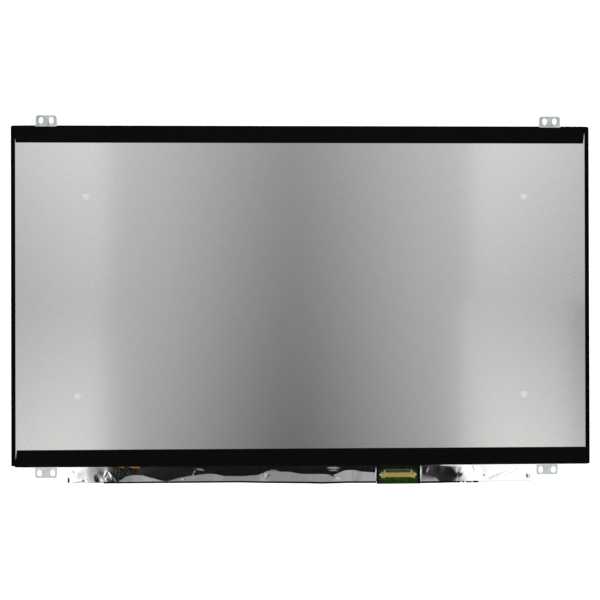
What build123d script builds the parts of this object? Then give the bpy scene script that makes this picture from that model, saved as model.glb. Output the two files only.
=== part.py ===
from build123d import *
import math
import os

# Slim 15.6-inch laptop display module, lying on its viewing face with its rear side up.
# x runs along the long edge, y from the connector edge to the top edge, z from the viewing face to the rear.
# The origin is the middle of the body's outline on the viewing face. Sizes are millimetres.

# Picture area and the borders round it, which make the body's outline
active_width = 344.2
active_height = 193.5
active_side_border = 7.65
active_top_border = 5.5
active_bottom_border = 11.9
body_corner_radius = 1.2
corner_relief_length = 6.5
corner_relief_depth = 0.9

# Layers, from the viewing face to the rear
polarizer_thickness = 0.15
glass_thickness = 0.40
rim_tape_thickness = 0.10
shelf_thickness = 0.30
prism_sheet_thickness = 0.12
diffuser_thickness = 0.10
light_guide_thickness = 0.70
reflector_thickness = 0.18
rear_plate_thickness = 0.38
edge_tape_thickness = 0.08

# Display cell
polarizer_overlap = 2.0
rim_tape_width = 1.1
front_glass_margin = 3.0
bond_ledge = 4.8

# Moulded frame
frame_setback = 0.10
pocket_wall = 1.2
window_margin = 0.6
side_rim = 2.6
end_rim = 3.8
side_ledge = 1.95
end_ledge = 0.5

# Backlight
light_mixing_length = 3.45
light_guide_lug_width = 8.0
light_guide_lug_reach = 1.1
light_guide_lug_inset = 43.45
sheet_setback = 0.8
led_count = 33
led_end_margin = 5.4
led_length = 3.8
led_depth = 1.0
led_height = 0.62
led_flex_thickness = 0.10
led_flex_overlap = 0.8
tail_inset = 72.15
tail_width = 14.3
tail_bend_radius = 0.6
tail_landing = 2.0

# Rear plate and its four round holes, placed from the body's edges
plate_corner_radius = 0.8
plate_hole_diameter = 4.9
plate_hole_right_inset = 41.05
plate_hole_upper_left_inset = 46.05
plate_hole_lower_left_inset = 40.35
plate_hole_end_inset = 43.65

# Edge tapes
tape_height = 10.6
tape_wrap = 0.55
top_tape_notch_depth = 0.6
bottom_tape_notch_depth = 0.05
tape_notch_margin = 0.4
top_tape_left_gap = 0.4
top_tape_right_gap = 0.95
bottom_tape_left_gap = 0.75
bottom_tape_right_gap = 0.15
tape_end_slant = 1.1

# Mounting brackets, placed from the body's sides by their outer screw slots
top_left_screw_inset = 18.4
top_right_screw_inset = 21.2
bottom_left_screw_inset = 17.05
bottom_right_screw_inset = 22.55
top_slot_pitch = 6.25
bottom_slot_pitch = 8.15
top_ear_width = 13.1
bottom_ear_width = 13.5
top_ear_reach = 6.6
bottom_ear_reach = 6.9
top_slot_reach = 3.35
bottom_slot_reach = 3.65
slot_width = 2.6
slot_length = 3.8
bracket_sheet = 0.40
bracket_drop = 1.50
bracket_bend_radius = 0.35
bracket_bend_run = 0.55
ear_corner_radius = 1.5
bracket_root_depth = 3.2
bracket_flange_depth = 1.5
bracket_flange_reach = 3.0

# Control board, placed from the body's sides
board_left_inset = 35.15
board_right_inset = 36.75
board_gap = 0.28
board_depth = 10.17
board_thickness = 0.60
board_corner_radius = 0.5
tongue_reach = 1.55
connector_inset = 120.25

# Source flexes and their driver chips
flex_count = 4
flex_end_margin = 5.8
flex_width = 36.0
flex_thickness = 0.05
flex_bond_length = 2.2
driver_chip_length = 16.0
driver_chip_depth = 1.3
driver_chip_height = 0.38

# Parts on the board, placed from the connector or from the light bar's tail
chip_row_depth = 3.4
timing_chip_offset = 38.0
timing_chip_size = 6.0
timing_chip_height = 0.85
supply_chip_offset = 81.5
supply_chip_size = 4.0
supply_chip_height = 0.75
inductor_offset = 92.0
inductor_size = 4.2
inductor_height = 1.0
inductor_flange = 0.22
inductor_waist = 0.45
backlight_chip_offset = 16.0
backlight_chip_size = 4.0
backlight_chip_height = 0.75
capacitor_length = 2.0
capacitor_depth = 1.25
capacitor_height = 0.85
capacitor_pitch = 3.2
supply_capacitor_count = 4
backlight_capacitor_count = 5
timing_capacitor_count = 5
input_capacitor_count = 4
input_capacitor_gap = 6.4
resistor_length = 1.6
resistor_depth = 0.8
resistor_height = 0.45
resistor_pitch = 2.4
resistor_row_count = 6
resistor_end_gap = 4.8

# Display connector
contact_count = 30
contact_pitch = 0.5
contact_width = 0.20
contact_sheet = 0.10
contact_tail = 0.85
contact_rise = 0.42
contact_mouth_setback = 0.6
housing_length = 20.6
housing_setback = 4.3
housing_depth = 3.55
housing_height = 1.0
housing_back_wall = 0.75
housing_wall = 0.25
mouth_length = 18.4
shell_sheet = 0.15
shell_clearance = 0.10
shell_end_length = 2.4
shell_end_step = 0.40
shell_hole_diameter = 0.80
shell_tab_reach = 0.95
shell_tab_width = 1.2
ground_tail_width = 1.0
ground_tail_gap = 0.55

# Insulating film and shielding foil
film_thickness = 0.06
foil_thickness = 0.06
foil_overhang = 0.8
foil_window = 27.1
foil_window_offset = 0.25
film_end_margin = 1.1
film_left_reach = 1.1
film_right_reach = 1.5
film_setback = 0.4
film_slope_share = 0.8
film_station_pitch = 22.0
drape_clearance = 0.07
foil_lift = 0.50
foil_shoulder = 3.4
foil_flange = 4.0
foil_station_pitch = 4.0
film_opening_margin = 1.2
foil_opening_margin = 0.4
foil_opening_depth = 1.9

# Crumples of the foil: the shares of its way from the body to the board's edge at which its facets meet,
# the slow waves as (height, turn for each millimetre of x, turn for each share, start), and the sharp pinches
foil_flat_shares = (0.0, 0.18, 0.36, 0.52)
foil_slope_shares = (0.68, 0.84, 1.0)
foil_slope_power = 1.5
foil_waves = ((0.065, 0.23, 2.1, 0.0), (0.039, 0.11, -3.7, 0.8))
pinch_height = 0.091
pinch_level = 0.5
pinch_turn = 0.37
pinch_wander = 1.3
pinch_wander_turn = 0.05
pinch_share_turn = 2.0

# Clearances
glass_clearance = 0.40
plate_clearance = 0.10
sheet_clearance = 0.30
led_gap = 0.05
pocket_clearance = 0.10
flex_notch_clearance = 0.50
flex_rear_clearance = 0.25
tail_window_clearance = 0.10
contact_slit_clearance = 0.03
drape_gap = 0.08
film_resting_gap = 0.02
film_step_gap = 0.16

# Levels of the layers
z_front_glass = polarizer_thickness
z_rear_glass = z_front_glass + glass_thickness
z_rear_polarizer = z_rear_glass + glass_thickness
z_rim_tape = z_rear_polarizer + polarizer_thickness
z_shelf = z_rim_tape + rim_tape_thickness
z_upper_prism = z_shelf + shelf_thickness
z_lower_prism = z_upper_prism + prism_sheet_thickness
z_diffuser = z_lower_prism + prism_sheet_thickness
z_light_guide = z_diffuser + diffuser_thickness
z_reflector = z_light_guide + light_guide_thickness
z_plate = z_reflector + reflector_thickness
z_rear = z_plate + rear_plate_thickness
z_board = z_rear_glass
z_board_rear = z_board + board_thickness

# Edges of the body, the picture area and the glass
active_side = active_width / 2
body_side = active_side + active_side_border
body_end = (active_height + active_top_border + active_bottom_border) / 2
active_top = body_end - active_top_border
active_bottom = active_top - active_height
front_glass_bottom = active_bottom - front_glass_margin
rear_glass_bottom = front_glass_bottom - bond_ledge
pocket_side = body_side - pocket_wall
pocket_top = body_end - pocket_wall
glass_side = pocket_side - glass_clearance
glass_top = pocket_top - glass_clearance

# Edges of the backlight cavity, the plate pocket and what lies in them
plate_pocket_side = body_side - side_rim
plate_pocket_end = body_end - end_rim
cavity_side = plate_pocket_side - side_ledge
cavity_end = plate_pocket_end - end_ledge
light_guide_side = cavity_side - sheet_clearance
light_guide_top = cavity_end - sheet_clearance
light_guide_bottom = active_bottom - light_mixing_length
light_guide_lug_y = body_end - light_guide_lug_inset
led_flex_top = light_guide_bottom + led_flex_overlap
led_flex_bottom = sheet_clearance - cavity_end
led_row_side = light_guide_side - led_end_margin
led_pitch = (2 * led_row_side - led_length) / (led_count - 1)
tail_x = tail_inset - body_side

# Edges of the control board and of the strip that the foil covers
board_left = board_left_inset - body_side
board_right = body_side - board_right_inset
foil_left_end = board_left - foil_overhang
foil_right_end = board_right + foil_overhang
connector_x = body_side - connector_inset
timing_chip_x = connector_x - timing_chip_offset
supply_chip_x = connector_x - supply_chip_offset
inductor_x = connector_x - inductor_offset
backlight_chip_x = tail_x + backlight_chip_offset
board_top = -body_end - board_gap
board_bottom = board_top - board_depth
tongue_bottom = board_bottom - tongue_reach
chip_row_y = board_top - chip_row_depth
film_level = z_board_rear + max(inductor_height, timing_chip_height) + drape_clearance
foil_level = film_level + film_thickness + foil_lift
window_left = connector_x + foil_window_offset - foil_window / 2
window_right = window_left + foil_window
housing_back = tongue_bottom + housing_setback + housing_depth
housing_front = tongue_bottom + housing_setback


def block(left, right, bottom, top, front, rear, radius=0):
    """Flat rectangular solid between its six faces, with rounded corners in plan."""
    width = right - left
    height = top - bottom
    outline = RectangleRounded(width, height, radius) if radius else Rectangle(width, height)
    return extrude(Pos((left + right) / 2, (bottom + top) / 2, front) * outline, rear - front)


def bar(x, half, bottom, top, front, rear, radius=0):
    """Flat rectangular solid that reaches evenly to both sides of x."""
    return block(x - half, x + half, bottom, top, front, rear, radius)


def strip_along_x(points, radius, thickness, left, right):
    """Sheet strip of even thickness: its centre line is drawn in (y, z) and it runs from left to right."""
    line = FilletPolyline(*points, radius=radius)
    section = Plane.YZ.offset(left) * trace(line, thickness)
    return extrude(section, right - left)


def sharp_strip_along_x(points, thickness, left, right):
    """Sheet strip like the one above, with sharp mitred bends."""
    normals = []
    for (y, z), (next_y, next_z) in zip(points, points[1:]):
        length = math.hypot(next_y - y, next_z - z)
        normals.append(((z - next_z) / length, (next_y - y) / length))
    upper = []
    lower = []
    for (y, z), before, after in zip(points, normals[:1] + normals, normals + normals[-1:]):
        reach = thickness / 2 / (1 + before[0] * after[0] + before[1] * after[1])
        step_y = reach * (before[0] + after[0])
        step_z = reach * (before[1] + after[1])
        upper.append((y + step_y, z + step_z))
        lower.append((y - step_y, z - step_z))
    section = Plane.YZ.offset(left) * Polygon(*upper, *reversed(lower), align=None)
    return extrude(section, right - left, dir=(1, 0, 0))


def picture_sheet(overlap, front, thickness):
    """Film over the picture area, larger by an overlap on each side."""
    side = active_side + overlap
    return bar(0, side, active_bottom - overlap, active_top + overlap, front, front + thickness)


def cell_glass(bottom, front):
    """One of the two glasses of the display cell, from its lower edge to the top of the pocket."""
    return bar(0, glass_side, bottom, glass_top, front, front + glass_thickness)


def cell_rim_tape():
    """Frame of double-sided tape between the cell and the shelf of the moulded frame."""
    outer = picture_sheet(polarizer_overlap, z_rim_tape, rim_tape_thickness)
    return outer - picture_sheet(polarizer_overlap - rim_tape_width, z_rim_tape, rim_tape_thickness)


# Brackets: node name, x of the outer screw slot, direction from it to the inner slot, top or bottom edge
brackets = [
    ("bracket_top_left", top_left_screw_inset - body_side, 1, 1),
    ("bracket_top_right", body_side - top_right_screw_inset, -1, 1),
    ("bracket_bottom_left", bottom_left_screw_inset - body_side, 1, -1),
    ("bracket_bottom_right", body_side - bottom_right_screw_inset, -1, -1),
]


def bracket_sizes(edge):
    """Ear width, ear reach, slot pitch and slot reach of a top (1) or bottom (-1) bracket."""
    if edge > 0:
        return top_ear_width, top_ear_reach, top_slot_pitch, top_slot_reach
    return bottom_ear_width, bottom_ear_reach, bottom_slot_pitch, bottom_slot_reach


def ear_centre(screw_x, inward, edge):
    """Middle of an ear: its two slots lie evenly about it."""
    pitch = bracket_sizes(edge)[2]
    return screw_x + inward * pitch / 2


def bracket_root(ear_x, edge, clearance, outer_end):
    """T-shaped root of a bracket, in plan, as it lies in the frame's rim under the tape."""
    neck = bracket_sizes(edge)[0] + 2 * clearance
    flange = neck + 2 * bracket_flange_reach
    inner = body_end - bracket_root_depth - clearance
    shoulder = body_end - bracket_root_depth + bracket_flange_depth + clearance
    crossbar = Pos(ear_x, edge * (inner + shoulder) / 2) * Rectangle(flange, shoulder - inner)
    stem = Pos(ear_x, edge * (inner + outer_end) / 2) * Rectangle(neck, outer_end - inner)
    return crossbar + stem


def bracket(screw_x, inward, edge):
    """Galvanised sheet bracket: flat root in the rim, a step down over the edge, an ear with two slots."""
    ear_width, ear_reach, pitch, slot_reach = bracket_sizes(edge)
    ear_x = ear_centre(screw_x, inward, edge)
    reach = ear_width / 2 + bracket_flange_reach
    tip = body_end + ear_reach
    root_z = z_rear - bracket_sheet / 2
    bend_start = body_end + edge_tape_thickness + bracket_bend_radius
    centre_line = [
        (edge * (body_end - bracket_root_depth), root_z),
        (edge * bend_start, root_z),
        (edge * (bend_start + bracket_bend_run), root_z - bracket_drop),
        (edge * tip, root_z - bracket_drop),
    ]
    sheet = strip_along_x(centre_line, bracket_bend_radius, bracket_sheet, ear_x - reach, ear_x + reach)
    outline = bracket_root(ear_x, edge, 0, tip)
    tip_corners = outline.vertices().group_by(Axis.Y)[-1 if edge > 0 else 0]
    outline = fillet(tip_corners, ear_corner_radius)
    slot_y = edge * (body_end + slot_reach)
    for slot_x in (screw_x, screw_x + inward * pitch):
        outline -= Pos(slot_x, slot_y) * SlotOverall(slot_length, slot_width, rotation=90)
    return sheet & extrude(outline, z_rear + bracket_drop)


def bracket_pocket(screw_x, inward, edge):
    """Recess in the frame's rim for a bracket's root, open to the rear and to the outer edge."""
    plan = bracket_root(ear_centre(screw_x, inward, edge), edge, pocket_clearance, body_end + pocket_wall)
    return extrude(Pos(0, 0, z_rear - bracket_sheet) * plan, bracket_sheet)


def flex_centres():
    """Middle of each source flex, spread evenly along the board."""
    first = board_left + flex_end_margin + flex_width / 2
    last = board_right - flex_end_margin - flex_width / 2
    pitch = (last - first) / (flex_count - 1)
    return [first + pitch * index for index in range(flex_count)]


def light_guide_lugs(side, clearance, front, rear):
    """Lugs on the short edges of the light guide, or the wider notches that take them."""
    half = light_guide_lug_width / 2 + clearance
    reach = side + light_guide_lug_reach
    lugs = []
    for centre in (-light_guide_lug_y, light_guide_lug_y):
        lugs.append(block(side, reach, centre - half, centre + half, front, rear))
        lugs.append(block(-reach, -side, centre - half, centre + half, front, rear))
    return lugs


def mold_frame():
    """Black moulded frame: glass pocket in front, shelf with a window, backlight and plate pockets behind."""
    front = frame_setback
    frame = bar(0, body_side, -body_end, body_end, front, z_rear, body_corner_radius)
    frame -= bar(0, pocket_side, rear_glass_bottom - glass_clearance, pocket_top, front, z_shelf)
    frame -= picture_sheet(window_margin, z_shelf, shelf_thickness)
    frame -= bar(0, cavity_side, -cavity_end, cavity_end, z_upper_prism, z_plate)
    end = plate_pocket_end
    frame -= bar(0, plate_pocket_side, -end, end, z_plate, z_rear, plate_corner_radius)
    frame -= light_guide_lugs(cavity_side, sheet_clearance, z_upper_prism, z_plate)
    for name, screw_x, inward, edge in brackets:
        frame -= bracket_pocket(screw_x, inward, edge)
    half_notch = flex_width / 2 + flex_notch_clearance
    notch_rear = z_rear_glass + flex_rear_clearance
    for centre in flex_centres():
        frame -= bar(centre, half_notch, -body_end, rear_glass_bottom, front, notch_rear)
    half_window = tail_width / 2 + flex_notch_clearance
    window_front = z_reflector - tail_window_clearance
    window_rear = z_reflector + led_flex_thickness + tail_window_clearance
    frame -= bar(tail_x, half_window, -body_end, -cavity_end, window_front, window_rear)
    relief = Polygon((0, 0), (corner_relief_length, 0), (0, corner_relief_depth), align=None)
    frame -= extrude(Pos(-body_side, -body_end, front) * relief, z_rear - front)
    return frame


def optical_sheet(front, thickness):
    """Prism or diffuser sheet, the light guide's size and a little shorter at the lit edge."""
    bottom = light_guide_bottom + sheet_setback
    return bar(0, light_guide_side, bottom, light_guide_top, front, front + thickness)


def light_guide_plate():
    """Clear plate that spreads the light, located by lugs on its short edges."""
    plate = bar(0, light_guide_side, light_guide_bottom, light_guide_top, z_light_guide, z_reflector)
    for lug in light_guide_lugs(light_guide_side, 0, z_light_guide, z_reflector):
        plate += lug
    return plate


def led_packages():
    """Row of side-emitting diodes under the light-bar flex, facing the light guide's lower edge."""
    top = light_guide_bottom - led_gap
    bottom = top - led_depth
    front = z_reflector - led_height
    first = led_length / 2 - led_row_side
    centres = [first + led_pitch * index for index in range(led_count)]
    return [bar(x, led_length / 2, bottom, top, front, z_reflector) for x in centres]


def led_strip_flex():
    """Flexible circuit of the light bar, with a tail that steps down to the control board."""
    rear = z_reflector + led_flex_thickness
    strip = bar(0, led_row_side + sheet_clearance, led_flex_bottom, led_flex_top, z_reflector, rear)
    level = z_reflector + led_flex_thickness / 2
    landing_z = z_board_rear + led_flex_thickness / 2
    knee = -body_end - board_gap
    landing = board_top - (level - landing_z) - tail_bend_radius
    route = [
        (led_flex_bottom, level),
        (knee, level),
        (landing, landing_z),
        (landing - tail_landing, landing_z),
    ]
    left = tail_x - tail_width / 2
    return strip + strip_along_x(route, tail_bend_radius, led_flex_thickness, left, left + tail_width)


def reflector_sheet():
    """White sheet behind the light guide, ending at the light-bar flex."""
    bottom = led_flex_top + led_gap
    return bar(0, light_guide_side, bottom, light_guide_top, z_reflector, z_plate)


def rear_plate():
    """Bare metal rear plate with four round holes."""
    side = plate_pocket_side - plate_clearance
    end = plate_pocket_end - plate_clearance
    plate = bar(0, side, -end, end, z_plate, z_rear, plate_corner_radius)
    hole_y = body_end - plate_hole_end_inset
    holes = [
        (plate_hole_upper_left_inset - body_side, hole_y),
        (body_side - plate_hole_right_inset, hole_y),
        (plate_hole_lower_left_inset - body_side, -hole_y),
        (body_side - plate_hole_right_inset, -hole_y),
    ]
    for x, y in holes:
        plate -= extrude(Pos(x, y, z_plate) * Circle(plate_hole_diameter / 2), rear_plate_thickness)
    return plate


def edge_tape(edge, left_gap, right_gap, notch_depth):
    """Black tape over the plate's edge and the rim, folded over the outer edge and notched round the ears."""
    inner = edge * (body_end - tape_height)
    outer = edge * body_end
    left = -plate_pocket_side + left_gap
    right = plate_pocket_side - right_gap
    outer_left = left - tape_end_slant
    outer_right = right + tape_end_slant
    plan = Polygon((left, inner), (right, inner), (outer_right, outer), (outer_left, outer), align=None)
    tape = extrude(Pos(0, 0, z_rear) * plan, edge_tape_thickness, dir=(0, 0, 1))
    fold_left = max(outer_left, -body_side + corner_relief_length)
    fold_right = min(outer_right, body_side - body_corner_radius)
    fold_front = z_rear - tape_wrap
    fold_rear = z_rear + edge_tape_thickness
    fold_end = edge * (body_end + edge_tape_thickness)
    fold = sorted((outer, fold_end))
    tape += block(fold_left, fold_right, fold[0], fold[1], fold_front, fold_rear)
    for name, screw_x, inward, side in brackets:
        if side == edge:
            half = bracket_sizes(edge)[0] / 2 + tape_notch_margin
            notch = sorted((edge * (body_end - notch_depth), fold_end))
            tape -= bar(ear_centre(screw_x, inward, edge), half, notch[0], notch[1], fold_front, fold_rear)
    if edge < 0:
        half = tail_width / 2 + flex_notch_clearance
        tape -= bar(tail_x, half, fold[0], fold[1], fold_front, z_rear)
    return tape


def control_board():
    """Long strip of a board with a tongue under the display connector."""
    rear = z_board_rear
    strip = block(board_left, board_right, board_bottom, board_top, z_board, rear, board_corner_radius)
    tongue = block(window_left, window_right, tongue_bottom, board_top - board_corner_radius, z_board, rear)
    return strip + tongue


def source_flex(centre):
    """Film that joins the rear glass to the board, on the viewing side of both."""
    bottom = board_top - flex_bond_length
    top = rear_glass_bottom + flex_bond_length
    return bar(centre, flex_width / 2, bottom, top, z_rear_glass - flex_thickness, z_rear_glass)


def driver_chip(centre):
    """Long thin driver chip on a source flex, between the glass and the board."""
    middle = (rear_glass_bottom + board_top) / 2
    half = driver_chip_depth / 2
    rear = z_rear_glass - flex_thickness
    front = rear - driver_chip_height
    return bar(centre, driver_chip_length / 2, middle - half, middle + half, front, rear)


def board_part(x, y, length, depth, height):
    """Flat part on the rear face of the board."""
    return bar(x, length / 2, y - depth / 2, y + depth / 2, z_board_rear, z_board_rear + height)


def square_chip(x, size, height):
    """Square moulded chip in the middle row of the board."""
    return board_part(x, chip_row_y, size, size, height)


def supply_inductor():
    """Wound inductor: a drum core with two flanges and a round waist."""
    drum = board_part(inductor_x, chip_row_y, inductor_size, inductor_size, inductor_flange)
    waist_radius = inductor_size / 2 - inductor_waist
    drum += extrude(Pos(inductor_x, chip_row_y, z_board_rear) * Circle(waist_radius), inductor_height)
    top = z_board_rear + inductor_height - inductor_flange
    return drum + extrude(Pos(inductor_x, chip_row_y, top) * Circle(inductor_size / 2), inductor_flange)


def part_row(first_x, count, pitch, y, length, depth, height):
    """Row of like parts along the board."""
    return [board_part(first_x + pitch * index, y, length, depth, height) for index in range(count)]


def chip_capacitors():
    """Ceramic capacitors beside the supply, the backlight driver and the timing chip."""
    sizes = (chip_row_y, capacitor_length, capacitor_depth, capacitor_height)
    supply = supply_chip_x + supply_chip_size / 2 + capacitor_pitch
    backlight = backlight_chip_x + backlight_chip_size / 2 + capacitor_pitch
    timing = timing_chip_x + timing_chip_size / 2 + capacitor_pitch
    beyond = window_right + input_capacitor_gap
    row = part_row(supply, supply_capacitor_count, capacitor_pitch, *sizes)
    row += part_row(backlight, backlight_capacitor_count, capacitor_pitch, *sizes)
    row += part_row(timing, timing_capacitor_count, capacitor_pitch, *sizes)
    row += part_row(beyond, input_capacitor_count, capacitor_pitch, *sizes)
    return row


def chip_resistors():
    """Small resistors at both ends of the board and left of the timing chip."""
    sizes = (chip_row_y, resistor_length, resistor_depth, resistor_height)
    left_end = board_left + resistor_end_gap
    right_end = board_right - resistor_end_gap - resistor_pitch * (resistor_row_count - 1)
    timing = timing_chip_x - timing_chip_size / 2 - resistor_pitch * resistor_row_count
    row = part_row(left_end, resistor_row_count, resistor_pitch, *sizes)
    row += part_row(timing, resistor_row_count, resistor_pitch, *sizes)
    row += part_row(right_end, resistor_row_count, resistor_pitch, *sizes)
    return row


def contact_level():
    """Height of the contact blades' middle inside the mouth."""
    return z_board_rear + contact_rise + contact_sheet / 2


def contact_row_half():
    """Half the length of the row of contacts."""
    return contact_pitch * (contact_count - 1) / 2 + contact_width / 2


def connector_housing():
    """Moulded connector body: its mouth towards the free edge, a slit for the contacts in its back wall."""
    front = z_board_rear
    rear = z_board_rear + housing_height
    mouth_end = housing_back - housing_back_wall
    body = bar(connector_x, housing_length / 2, housing_front, housing_back, front, rear)
    mouth_front = front + housing_wall
    mouth_rear = rear - housing_wall
    body -= bar(connector_x, mouth_length / 2, housing_front, mouth_end, mouth_front, mouth_rear)
    half_slit = contact_row_half() + contact_slit_clearance
    slit = contact_sheet / 2 + contact_slit_clearance
    middle = contact_level()
    body -= bar(connector_x, half_slit, mouth_end, housing_back, middle - slit, middle + slit)
    return body


def connector_contacts():
    """Contacts: a tail soldered to the board, a step up behind the housing, a straight blade in the mouth."""
    foot = z_board_rear + contact_sheet / 2
    step = housing_back + contact_sheet
    route = [
        (step + contact_rise + contact_tail, foot),
        (step + contact_rise, foot),
        (step, contact_level()),
        (housing_front + contact_mouth_setback, contact_level()),
    ]
    contacts = []
    for index in range(contact_count):
        left = connector_x - contact_row_half() + contact_pitch * index
        contacts.append(sharp_strip_along_x(route, contact_sheet, left, left + contact_width))
    return contacts


def connector_shell():
    """Stamped shell over the housing: cover, cheeks, wider ends with holes, solder tabs and ground tails."""
    inner_half = housing_length / 2 + shell_clearance
    half = inner_half + shell_sheet
    under = z_board_rear + housing_height
    over = under + shell_sheet
    back = housing_back - housing_back_wall
    shell = bar(connector_x, half, housing_front, back, under, over)
    end_front = housing_front - shell_end_step
    end_back = back + shell_end_step
    tab_middle = (housing_front + back) / 2
    tab_front = tab_middle - shell_tab_width / 2
    tab_back = tab_middle + shell_tab_width / 2
    foot = z_board_rear + shell_sheet / 2
    cover = over - shell_sheet / 2
    tail_back = housing_back + shell_sheet
    tail_route = [(back, cover), (tail_back, cover), (tail_back, foot), (tail_back + contact_tail, foot)]
    tail_middle = contact_row_half() + ground_tail_gap + ground_tail_width / 2
    for side in (-1, 1):
        end_x = connector_x + side * (half - shell_end_length / 2)
        shell += bar(end_x, shell_end_length / 2, end_front, end_back, under, over)
        hole = Pos(end_x, back - shell_hole_diameter / 2, under) * Circle(shell_hole_diameter / 2)
        shell -= extrude(hole, shell_sheet)
        cheek_x = connector_x + side * (inner_half + shell_sheet / 2)
        shell += bar(cheek_x, shell_sheet / 2, housing_front, back, z_board_rear, over)
        tab_half = (shell_sheet + shell_tab_reach) / 2
        tab_x = connector_x + side * (inner_half + tab_half)
        shell += bar(tab_x, tab_half, tab_front, tab_back, z_board_rear, z_board_rear + shell_sheet)
        tail_left = connector_x + side * tail_middle - ground_tail_width / 2
        shell += strip_along_x(tail_route, shell_sheet, shell_sheet, tail_left, tail_left + ground_tail_width)
    return shell


def sheet_normals(points):
    """Outward unit normals along a (y, z) line that runs from the body over the board and round its edge."""
    normals = []
    for index in range(len(points)):
        before = points[max(index - 1, 0)]
        after = points[min(index + 1, len(points) - 1)]
        step = (after[0] - before[0], after[1] - before[1])
        length = math.hypot(*step)
        normals.append((step[1] / length, -step[0] / length))
    return normals


def draped_sheet(stations, line_at, thickness):
    """Closed thin sheet with flat facets, spanned between its inner side's (y, z) lines at each x station."""
    inner = []
    outer = []
    for x in stations:
        line = line_at(x)
        pairs = zip(line, sheet_normals(line))
        inner.append([(x, y, z) for y, z in line])
        outer.append([(x, y + thickness * ny, z + thickness * nz) for (y, z), (ny, nz) in pairs])
    rows = len(inner[0]) - 1
    columns = len(inner) - 1
    quads = []
    for i in range(columns):
        for j in range(rows):
            quads.append((outer[i][j], outer[i + 1][j], outer[i + 1][j + 1], outer[i][j + 1]))
            quads.append((inner[i][j], inner[i][j + 1], inner[i + 1][j + 1], inner[i + 1][j]))
        quads.append((inner[i][0], inner[i + 1][0], outer[i + 1][0], outer[i][0]))
        quads.append((outer[i][rows], outer[i + 1][rows], inner[i + 1][rows], inner[i][rows]))
    for j in range(rows):
        quads.append((inner[0][j], outer[0][j], outer[0][j + 1], inner[0][j + 1]))
        quads.append((outer[columns][j], inner[columns][j], inner[columns][j + 1], outer[columns][j + 1]))
    faces = []
    for a, b, c, d in quads:
        faces.append(Face(Wire.make_polygon([a, b, c])))
        faces.append(Face(Wire.make_polygon([a, c, d])))
    return Solid(Shell(faces))


def in_tail_opening(x, margin):
    """Whether a station lies over the light bar's tail, which film and foil leave open at the body's edge."""
    return abs(x - tail_x) < tail_width / 2 + margin


def film_line(x):
    """Inner side of the insulating film: level over the board's parts, then down to the board's free edge."""
    wall = -body_end - drape_gap
    tail_end = board_top - (z_reflector - z_board_rear) - tail_bend_radius - tail_landing
    start = tail_end - drape_gap - led_flex_thickness if in_tail_opening(x, film_opening_margin) else wall
    shoulder = board_bottom + foil_shoulder
    on_tongue = window_left + film_step_gap < x < window_right - film_step_gap
    end = tongue_bottom if on_tongue else board_bottom + film_setback
    resting = z_board_rear + film_resting_gap
    knee = shoulder - (foil_shoulder - film_setback) * film_slope_share
    middle = (start + shoulder) / 2
    level = film_level
    return [(start, level), (middle, level), (shoulder, level), (knee, resting), (end, resting)]


def foil_crease(x, share):
    """Height of the crumples across the foil: slow waves and sharp pinches that fade at its fixed edges."""
    slow = 0
    for height, turn, share_turn, start in foil_waves:
        slow += height * math.sin(turn * x + share_turn * share + start)
    wander = pinch_wander * math.sin(pinch_wander_turn * x)
    sharp = abs(math.sin(pinch_turn * x + wander + pinch_share_turn * share)) - pinch_level
    return (slow + pinch_height * sharp) * math.sin(math.pi * share)


def foil_line(x):
    """Inner side of the foil: over the film, down the shoulder, round the board's edge and back under it."""
    opening = foil_opening_depth if in_tail_opening(x, foil_opening_margin) else 0
    wall = -body_end - edge_tape_thickness - drape_gap - opening
    shoulder = board_bottom + foil_shoulder
    lip = board_bottom - drape_gap
    lip_z = z_board_rear + drape_gap
    flat_end = foil_flat_shares[-1]
    spine = []
    for share in foil_flat_shares:
        spine.append((share, wall + (shoulder - wall) * share / flat_end, foil_level))
    for share in foil_slope_shares:
        drop = (share - flat_end) / (1 - flat_end)
        height = foil_level + (lip_z - foil_level) * drop ** foil_slope_power
        spine.append((share, shoulder + (lip - shoulder) * drop, height))
    line = [(y, z + foil_crease(x, share)) for share, y, z in spine]
    under = z_board - drape_gap
    line.append((lip, (z_board_rear + z_board) / 2))
    line.append((lip + drape_gap, under))
    line.append((board_bottom + foil_flange, under))
    return line


def stations_between(left, right, pitch, breaks):
    """Even x stations from left to right, with a close pair at each break where the outline steps."""
    count = max(2, round((right - left) / pitch))
    places = {left + (right - left) * index / count for index in range(1, count)}
    for place in breaks:
        if left < place < right:
            places = {x for x in places if abs(x - place) > pitch / 4}
            places |= {place - drape_gap, place + drape_gap}
    return sorted(places | {left, right})


def tail_breaks(margin):
    """The two x places where the opening over the tail starts and ends."""
    half = tail_width / 2 + margin
    return [tail_x - half, tail_x + half]


def insulating_film(left, right):
    """Black film between the board's parts and the foil, showing beside the connector."""
    breaks = tail_breaks(film_opening_margin) + [window_left + film_step_gap, window_right - film_step_gap]
    stations = stations_between(left, right, film_station_pitch, breaks)
    return draped_sheet(stations, film_line, film_thickness)


def shielding_foil(left, right):
    """Crumpled aluminium foil over the film, folded round the free edge of the board."""
    stations = stations_between(left, right, foil_station_pitch, tail_breaks(foil_opening_margin))
    return draped_sheet(stations, foil_line, foil_thickness)


def save(name, shape):
    """Writes one node; a list becomes a group of separate solids."""
    solid = Compound(children=shape) if isinstance(shape, list) else shape
    export_step(solid, f"parts/{name}.step")


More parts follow.
